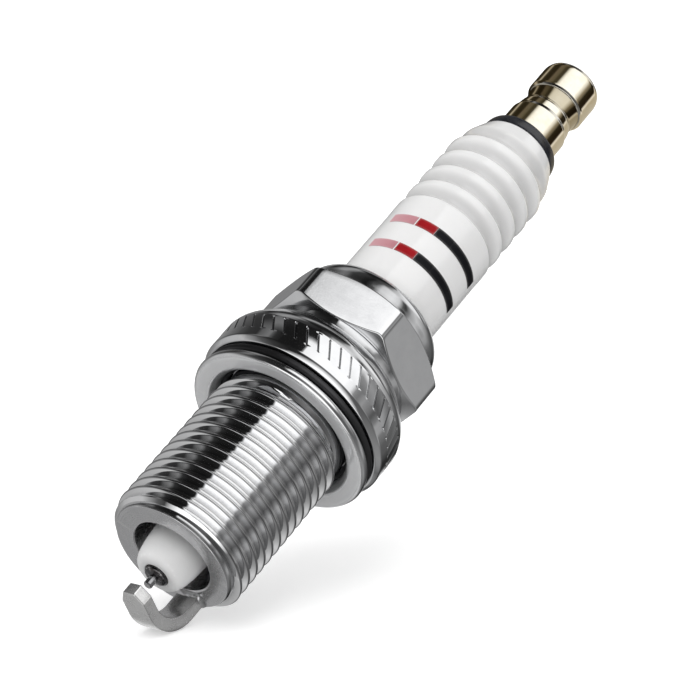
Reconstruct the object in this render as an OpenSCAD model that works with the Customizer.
// Spark plug, M14 x 1.25 long reach, flat seat with captive gasket, 16 mm hexagon,
// ribbed insulator and removable M4 terminal nut.
// +Z runs from the firing end to the terminal. The origin is on the axis, on the
// sealing face of the uncompressed gasket. The ground electrode stands 17.6 degrees
// round from +X.
// All sizes in millimetres. Turned pieces are outlines of [radius, z].

/* [Thread] */
// thread major diameter
thread_d = 14; // [13.8:0.05:14]
// thread pitch
thread_pitch = 1.25; // [1:0.05:1.5]
// reach, from the shell's seat to the firing-end face
reach = 19; // [17:0.5:21]
// facets of the helical thread in one turn
thread_steps = 48; // [24:4:60]

/* [Shell] */
// hexagon across flats
hex_flats = 16; // [15.8:0.1:16.4]
// round collar diameter
collar_d = 19.7; // [19:0.1:20.4]
// number of slanted marks pressed into the collar
mark_count = 50; // [30:1:60]
// depth of the collar marks
mark_depth = 0.14; // [0.08:0.02:0.25]
// bore diameter at the firing end
mouth_d = 8.2; // [7.8:0.1:8.6]

/* [Gasket] */
// free height of the folded gasket
gasket_h = 2; // [1.7:0.1:2.2]
// gasket outside diameter
gasket_d = 19; // [18.4:0.1:19.6]

/* [Insulator] */
// plain diameter of the insulator above the shell
insulator_d = 10.8; // [10.7:0.02:10.82]
// diameter over the ribs
rib_d = 10.86; // [10.82:0.02:10.96]
// number of grooves between the ribs
rib_grooves = 5; // [3:1:5]
// spacing of the grooves
rib_pitch = 2.4; // [2.2:0.1:2.4]
// depth of the grooves
rib_depth = 0.42; // [0.2:0.02:0.5]

/* [Terminal] */
// diameter of the terminal nut
terminal_d = 6.35; // [6.2:0.05:6.5]
// waist diameter of the terminal nut
waist_d = 5.44; // [5.2:0.04:5.6]
// stud thread pitch
stud_pitch = 0.7; // [0.65:0.05:0.75]
// stud thread major diameter
stud_d = 4; // [3.9:0.05:4]

/* [Electrodes] */
// centre electrode diameter
electrode_d = 2.44; // [2.3:0.02:2.5]
// firing pin diameter
pin_d = 0.86; // [0.6:0.02:1.2]
// spark gap
gap = 0.95; // [0.6:0.05:1.1]
// ground strap thickness
strap_thickness = 1.25; // [1.1:0.05:1.4]
// ground strap width
strap_width = 2.6; // [2.4:0.1:2.8]

/* [Hidden] */

// shell
seat_z = gasket_h;                 // shell seat, gasket uncompressed
end_z = seat_z - reach;            // firing-end face
root_r = thread_d / 2 - 0.6134 * thread_pitch;
crest_r = thread_d / 2 - 0.03;
collar_r = collar_d / 2;
mouth_r = mouth_d / 2;
hex_r = hex_flats / 2 / cos(30);   // over the corners
hex_turn = 14.1;                   // turn of the hexagon's corners from +X
hex_z0 = 9.0;
hex_z1 = 14.1;

// insulator and label
insulator_r = insulator_d / 2;
nose_z = -19.35;                   // front face of the nose
insulator_top = 42.45;
bore_r = 2.0;                      // bore above the centre electrode's head
swell_z0 = 26.6;                   // the swell under the ribs rises from here...
swell_z1 = 27.8;                   // ...to full size here
taper_z = 38.9;                    // the swell narrows above this
groove_z0 = 29.4;                  // deepest point of the lowest groove
label_thickness = 0.04;
stripes_z = [[24.72, 25.8], [21.0, 22.08]];   // bottom and top of each stripe

// terminal
nut_z0 = 43.25;
nut_z1 = 53.95;
stud_foot_z = 17.9;
stud_body_r = 1.82;
stud_root_r = stud_d / 2 - 0.47;
stud_thread_z = 42.5;

// stack inside the insulator
resistor_z0 = 4.2;
resistor_h = 11;
resistor_z1 = resistor_z0 + resistor_h;
head_r = 1.7;                      // head of the centre electrode
head_z = 0.4;
core_r = 0.75;
core_tip_r = 0.6;
core_tip_z = -17.8;
core_taper_z = -17.6;
pin_base_z = -19.75;
pin_z = -20.75;                    // tip of the firing pin

// ground strap, laid out along +X before it is turned
strap_turn = 17.6;
strap_in_z = pin_z - gap;          // inner face
strap_outer_limit = 6.05;          // the leg is centred between the mouth and this radius
strap_mid_x = (mouth_r + strap_outer_limit) / 2;
strap_bend_r = 2.9;                // inner radius of the bend
strap_tip_x = -1.19;
tip_trim_angle = 29;
tip_trim_inset = 0.66;             // start of each corner cut, in from the strap's side

// Tube with a helical thread outside, from radius wall to radii root and crest.
// Rows follow the helix, four to a pitch; the last four repeat the first column one
// pitch higher. Cones of slope taper0 and taper1 trim the thread at z0 and z1.
module thread_tube(pitch, root, crest, wall, z0, z1, turns, steps, taper0, taper1) {
    last = 4 * turns;
    column = last + 5;
    function row_z(i, j) =
        z0 + pitch * (floor(j / 4) + [0, 0.125, 0.4375, 0.6875][j % 4] + i / steps);
    function cone_r(rise) = max(root - 0.12, root - 0.1 + rise);
    function row_r(j, z) =
        min(j % 4 < 2 ? crest : root, cone_r((z - z0) * taper0), cone_r((z1 - z) * taper1));

    // point numbers: outer point in column i, row j; inner wall's bottom and top
    function outer(i, j) = i == steps ? j + 4 : i * column + j;
    function bottom(i) = steps * column + 2 * i;
    function top(i) = bottom(i) + 1;

    outer_points = [
        for (i = [0 : steps - 1]) for (j = [0 : last + 4])
            let (z = row_z(i, j), r = row_r(j, z), a = 360 * i / steps)
                [r * cos(a), r * sin(a), z]
    ];
    inner_points = [
        for (i = [0 : steps]) for (j = [0, last])
            let (a = 360 * i / steps) [wall * cos(a), wall * sin(a), row_z(i, j)]
    ];
    thread_faces = [
        for (i = [0 : steps - 1]) for (j = [0 : last - 1]) for (face = [
            [outer(i, j), outer(i, j + 1), outer(i + 1, j)],
            [outer(i, j + 1), outer(i + 1, j + 1), outer(i + 1, j)]
        ]) face
    ];
    cap_faces = [
        for (i = [0 : steps - 1]) for (face = [
            [top(i), outer(i + 1, last), outer(i, last)],
            [top(i), top(i + 1), outer(i + 1, last)],
            [bottom(i), outer(i, 0), outer(i + 1, 0)],
            [bottom(i), outer(i + 1, 0), bottom(i + 1)]
        ]) face
    ];
    wall_faces = [
        for (i = [1 : steps - 2]) for (face = [
            [bottom(i), bottom(i + 1), top(i + 1)],
            [bottom(i), top(i + 1), top(i)]
        ]) face
    ];
    // the wall's first and last facets share the four points above the first column
    seam_faces = [
        [bottom(0), bottom(1), top(1)],
        [bottom(0), top(1), bottom(steps)],
        [bottom(steps), top(1), top(0)],
        [bottom(steps - 1), bottom(steps), top(0)],
        [bottom(steps - 1), top(0), top(steps - 1)],
        [top(steps - 1), top(0), top(steps)]
    ];
    // end steps, one pitch high, in the plane of the first column
    step_faces = concat(
        [for (k = [0 : 3]) [top(0), outer(0, last + k), outer(0, last + k + 1)]],
        [[top(0), outer(0, last + 4), top(steps)]],
        [for (k = [0 : 3]) [bottom(steps), outer(0, k + 1), outer(0, k)]],
        [[bottom(steps), outer(0, 0), bottom(0)]]
    );
    polyhedron(
        points = concat(outer_points, inner_points),
        faces = concat(thread_faces, cap_faces, wall_faces, seam_faces, step_faces),
        convexity = 20
    );
}

// body of revolution: reach, seat, collar, neck, hexagon core, crimped lip and bore
module shell_body() rotate_extrude($fn = 96) polygon([
    // firing end and thread core
    [mouth_r, end_z + 0.12], [mouth_r + 0.12, end_z], [6.03, end_z], [6.12, end_z + 0.1],
    [6.12, end_z + 0.3], [root_r - 0.04, end_z + 0.4],
    [root_r - 0.04, seat_z - 1.2], [6.1, seat_z - 1.05], [6.1, seat_z],
    // seat, collar and neck
    [9.42, seat_z], [collar_r - 0.03, seat_z + 0.42], [collar_r, seat_z + 0.52],
    [collar_r, 5.35], [collar_r - 0.12, 5.9], [9.42, 6.55], [8.98, 7.2], [8.45, 7.75],
    [8.08, 8.05], [7.9, 8.2], [7.86, 9.1], [7.86, 9.3],
    // hexagon core and crimped lip
    [7.6, 9.3], [7.6, 14.05], [7.52, 14.5], [7.46, 15.1], [7.3, 15.75], [6.98, 16.3],
    [6.5, 16.75], [6.15, 16.92], [5.85, 16.95], [5.6, 16.82], [5.48, 16.6], [5.48, 16.4],
    // bore, down to the mouth
    [5.66, 16.1], [5.95, 15.9], [6.08, 15.62], [6.08, 5.9], [4.78, 4.9], [4.78, -4.7],
    [3.75, -5.55], [3.75, -7.3], [mouth_r, -8]
]);

// hexagon sleeve, its corners chamfered by turning
module hexagon() {
    chamfer_slope = 0.6;
    r0 = 7.75;                     // chamfers start at these radii, lower and upper
    r1 = 7.55;
    outer_r = hex_r + 0.6;
    intersection() {
        translate([0, 0, hex_z0]) rotate([0, 0, hex_turn]) difference() {
            cylinder(h = 5.3, r = hex_r, $fn = 6);
            translate([0, 0, -1]) cylinder(h = 8, r = 7.3, $fn = 72);
        }
        rotate_extrude($fn = 96) polygon([
            [7, hex_z0], [r0, hex_z0], [outer_r, hex_z0 + (outer_r - r0) * chamfer_slope],
            [outer_r, hex_z1 - (outer_r - r1) * chamfer_slope], [r1, hex_z1], [7, hex_z1]
        ]);
    }
}

module shell() color([0.72, 0.72, 0.74]) {
    thread_z0 = end_z + 0.14;
    thread_z1 = seat_z - 2.02;
    difference() {
        union() {
            shell_body();
            hexagon();
            rotate([0, 0, 121])
                thread_tube(
                    pitch = thread_pitch, root = root_r, crest = crest_r, wall = root_r - 0.5,
                    z0 = thread_z0, z1 = thread_z1,
                    turns = floor((thread_z1 + 0.7 - thread_z0) / thread_pitch) - 1,
                    steps = thread_steps, taper0 = 1.1, taper1 = 2
                );
        }
        // slanted marks pressed round the collar
        for (i = [0 : mark_count - 1]) rotate([0, 0, i * 360 / mark_count])
            translate([collar_r, 0, 4.42]) rotate([31, 0, 0])
                cube([mark_depth * 2, 0.2, 2.1], center = true);
    }
}

// one strip folded into two layers; the upper layer's inner lip is too small to
// pass the thread crests, so the ring stays captive
module seat_gasket() color([0.78, 0.78, 0.79]) {
    r = gasket_d / 2;
    h = gasket_h;
    rotate_extrude($fn = 96) polygon([
        // lower layer
        [7.42, 0.3], [7.62, 0.06], [7.8, 0], [r - 0.62, 0], [r - 0.3, 0.07],
        [r - 0.08, 0.27], [r, 0.52], [r - 0.06, 0.78], [r - 0.3, 0.94], [r - 0.9, 0.99],
        // upper layer
        [r - 0.9, h - 0.93], [r - 0.42, h - 0.9], [r - 0.2, h - 0.74], [r - 0.13, h - 0.5],
        [r - 0.2, h - 0.22], [r - 0.45, h - 0.04], [r - 0.7, h],
        [7.1, h], [6.78, h - 0.12], [6.62, h - 0.36], [6.72, h - 0.58], [7.05, h - 0.7],
        [7.42, h - 0.76]
    ]);
}

// insulator radius above the shell: rounded grooves cut in a slight swell
function swell_r(z) =
    z < swell_z0 ? insulator_r :
    z < swell_z1 ? insulator_r + (rib_d / 2 - insulator_r) * 0.5
        * (1 - cos(180 * (z - swell_z0) / (swell_z1 - swell_z0))) :
    z < taper_z ? rib_d / 2 :
    rib_d / 2 - 0.3 * (z - taper_z);
function bump(x) = abs(x) < 1 ? 0.5 * (1 + cos(180 * x)) : 0;
// share of full depth at dz from a groove's deepest point; longer towards the terminal
function groove(dz) = bump(dz / (dz < 0 ? 0.75 : 1.35));
function rib_r(z) = swell_r(z) - rib_depth
    * max([for (k = [0 : rib_grooves - 1]) groove(z - (groove_z0 + k * rib_pitch))]);

module insulator() color([0.95, 0.95, 0.94])
    rotate_extrude($fn = 96) polygon(concat(
        // nose
        [[1.26, nose_z], [1.72, nose_z], [2.05, nose_z + 0.1], [2.32, nose_z + 0.32],
         [2.5, nose_z + 0.7], [2.62, nose_z + 1.1], [2.8, -17.3], [2.96, -15.4],
         [3.2, -11.5], [3.42, -6.6], [3.46, -5.6]],
        // body within the shell
        [[4.62, -4.6], [4.66, -4.4], [4.66, 4.9], [5.86, 6.2], [5.96, 6.45], [5.96, 10.7],
         [5.82, 11.0], [insulator_r + 0.06, 11.4], [insulator_r, 11.6]],
        // ribs
        [for (z = [26.6 : 0.3 : 28.1]) [rib_r(z), z]],
        [for (z = [28.4 : 0.15 : 40.1]) [rib_r(z), z]],
        // top
        [[4.98, 40.45], [4.76, 41.0], [4.56, 41.5], [4.4, 41.9], [4.24, 42.25],
         [4.1, insulator_top - 0.05], [3.95, insulator_top]],
        // bore
        [[bore_r, insulator_top], [bore_r, -1.2], [1.26, -1.9]]
    ));

// one colour's part of the two label stripes, between two angles
module stripes(from, to)
    for (z = stripes_z) rotate([0, 0, from]) rotate_extrude(angle = to - from, $fn = 96)
        translate([insulator_r, z[0]]) square([label_thickness, z[1] - z[0]]);

module label_black() color([0.05, 0.05, 0.06]) stripes(-124.3, -49.5);

module label_red() color([0.7, 0.09, 0.11]) stripes(-146.6, -124.7);

module label_pale() color([0.8, 0.55, 0.6]) stripes(-179.2, -148.2);

module terminal_seal_ring() color([0.06, 0.06, 0.075])
    rotate_extrude($fn = 96) polygon([
        [2.1, insulator_top], [4.02, insulator_top], [4.12, insulator_top + 0.12],
        [4.13, 42.8], [4.1, 43.1], [4.02, 43.45], [3.9, 43.66], [3.7, 43.75],
        [3.25, 43.75], [3.25, nut_z0], [2.1, nut_z0]
    ]);

module terminal_nut() color([0.83, 0.79, 0.68]) {
    r = terminal_d / 2;
    waist_r = waist_d / 2;
    rotate_extrude($fn = 96) polygon([
        // lower barrel
        [2.08, nut_z0 + 0.35], [2.4, nut_z0], [r - 0.12, nut_z0], [r, nut_z0 + 0.12],
        [r, 46.85], [r - 0.05, 46.95], [r - 0.16, 47.25],
        // waist
        [waist_r + 0.16, 48.2], [waist_r + 0.03, 48.5], [waist_r, 48.65],
        [waist_r + 0.04, 49.4], [waist_r + 0.12, 50.1],
        // upper barrel
        [2.96, 50.14], [r - 0.06, 50.3], [r, 50.4], [r, 53.1], [r - 0.06, 53.4],
        [r - 0.18, 53.66], [r - 0.38, 53.86], [r - 0.6, nut_z1],
        // blind bore
        [0, nut_z1], [0, 52.5], [2.08, 52.1]
    ]);
}

// rings that key the stud in the glass
module knurl_rings()
    for (k = [0 : 4]) translate([0, 0, 18.7 + k * 0.9]) rotate_extrude($fn = 72) polygon([
        [1.6, 0], [stud_body_r, 0], [1.93, 0.2], [1.93, 0.35], [stud_body_r, 0.55], [1.6, 0.55]
    ]);

module terminal_stud() color([0.7, 0.69, 0.66])
    union() {
        rotate_extrude($fn = 72) polygon([
            [0, stud_foot_z], [1.5, stud_foot_z], [stud_body_r, stud_foot_z + 0.4],
            [stud_body_r, 41.3], [1.94, 41.3], [1.94, 42.1], [stud_root_r, 42.4],
            [stud_root_r, 51.35], [1.2, 51.65], [0, 51.65]
        ]);
        knurl_rings();
        thread_tube(
            pitch = stud_pitch, root = stud_d / 2 - 0.43, crest = stud_d / 2 - 0.02, wall = 1.3,
            z0 = stud_thread_z, z1 = stud_thread_z + 12 * stud_pitch,
            turns = 11, steps = 24, taper0 = 1.2, taper1 = 1.2
        );
    }

// glass round the stud's foot, with the stud's shape cut out
module upper_glass_seal() color([0.2, 0.22, 0.24])
    difference() {
        translate([0, 0, resistor_z1]) cylinder(h = 9.3, r = bore_r, $fn = 72);
        translate([0, 0, stud_foot_z]) cylinder(h = 8, r = stud_body_r, $fn = 72);
        knurl_rings();
        translate([0, 0, stud_foot_z - 0.1]) rotate_extrude($fn = 72) polygon([
            [0, 0], [1.4, 0], [1.5, 0.1], [stud_body_r, 0.5], [stud_body_r, 0.6], [0, 0.6]
        ]);
    }

module suppressor_resistor() color([0.25, 0.2, 0.16])
    translate([0, 0, resistor_z0]) cylinder(h = resistor_h, r = bore_r, $fn = 72);

module lower_glass_seal() color([0.2, 0.22, 0.24])
    rotate_extrude($fn = 72) polygon([
        [0, head_z], [head_r, head_z], [head_r, 0.1], [bore_r, 0.1],
        [bore_r, resistor_z0], [0, resistor_z0]
    ]);

module center_electrode() color([0.3, 0.3, 0.31]) {
    r = electrode_d / 2;
    rotate_extrude($fn = 72) polygon([
        [0, pin_base_z], [pin_d / 2, pin_base_z], [pin_d / 2 + 0.2, pin_base_z],
        [r - 0.1, -19.52], [r, -19.4], [r, -1.82], [head_r, -1.38], [head_r, head_z],
        [core_r, head_z], [core_r, core_taper_z], [core_tip_r, core_tip_z], [0, core_tip_z]
    ]);
}

module center_electrode_core() color([0.78, 0.45, 0.3])
    rotate_extrude($fn = 72) polygon([
        [0, core_tip_z], [core_tip_r, core_tip_z], [core_r, core_taper_z],
        [core_r, head_z], [0, head_z]
    ]);

module firing_pin() color([0.62, 0.62, 0.64])
    rotate_extrude($fn = 48) polygon([
        [0, pin_z], [pin_d / 2 - 0.1, pin_z], [pin_d / 2, pin_z + 0.1],
        [pin_d / 2, pin_base_z], [0, pin_base_z]
    ]);

module insulator_seat_washer() color([0.6, 0.6, 0.6])
    rotate_extrude($fn = 72) polygon([
        [3.78, -5.525], [4.7, -4.766], [4.7, -4.66], [4.62, -4.6], [3.78, -5.324]
    ]);

// round wire ring
module packing_ring(ring_r, z) color([0.6, 0.6, 0.6])
    translate([0, 0, z]) rotate_extrude($fn = 72)
        translate([ring_r, 0]) circle(r = 0.31, $fn = 32);

module packing_ring_lower() packing_ring(ring_r = 5.74, z = 11.64);

module talc_packing() color([0.86, 0.85, 0.8])
    translate([0, 0, 11.97]) difference() {
        cylinder(h = 3.2, r = 6.06, $fn = 72);
        translate([0, 0, -1]) cylinder(h = 5, r = 5.42, $fn = 72);
    }

module packing_ring_upper() packing_ring(ring_r = 5.745, z = 15.5);

module ground_electrode() color([0.6, 0.6, 0.61]) {
    leg_x = strap_mid_x - strap_thickness / 2;   // inner face of the upright leg
    bend_x = leg_x - strap_bend_r;               // centre of the bend
    bend_z = strap_in_z + strap_bend_r;
    outer_z = strap_in_z - strap_thickness;
    side_y = strap_width / 2;
    rotate([0, 0, strap_turn]) difference() {
        union() {
            translate([leg_x, -side_y, bend_z])
                cube([strap_thickness, strap_width, end_z - bend_z]);
            translate([bend_x, side_y, bend_z]) rotate([90, 0, 0]) rotate([0, 0, -90])
                rotate_extrude(angle = 90, $fn = 64)
                    translate([strap_bend_r, 0]) square([strap_thickness, strap_width]);
            translate([strap_tip_x, -side_y, outer_z])
                cube([bend_x - strap_tip_x, strap_width, strap_thickness]);
        }
        // trimmed corners of the tip
        for (side = [-1, 1])
            translate([strap_tip_x, side * (side_y - tip_trim_inset), outer_z - 1])
                rotate([0, 0, side * tip_trim_angle]) translate([-1, side > 0 ? 0 : -4, 0])
                    cube([5, 4, strap_thickness + 2]);
    }
}

shell();
seat_gasket();
insulator();
label_black();
label_red();
label_pale();
terminal_seal_ring();
terminal_nut();
terminal_stud();
upper_glass_seal();
suppressor_resistor();
lower_glass_seal();
center_electrode();
center_electrode_core();
firing_pin();
insulator_seat_washer();
packing_ring_lower();
talc_packing();
packing_ring_upper();
ground_electrode();
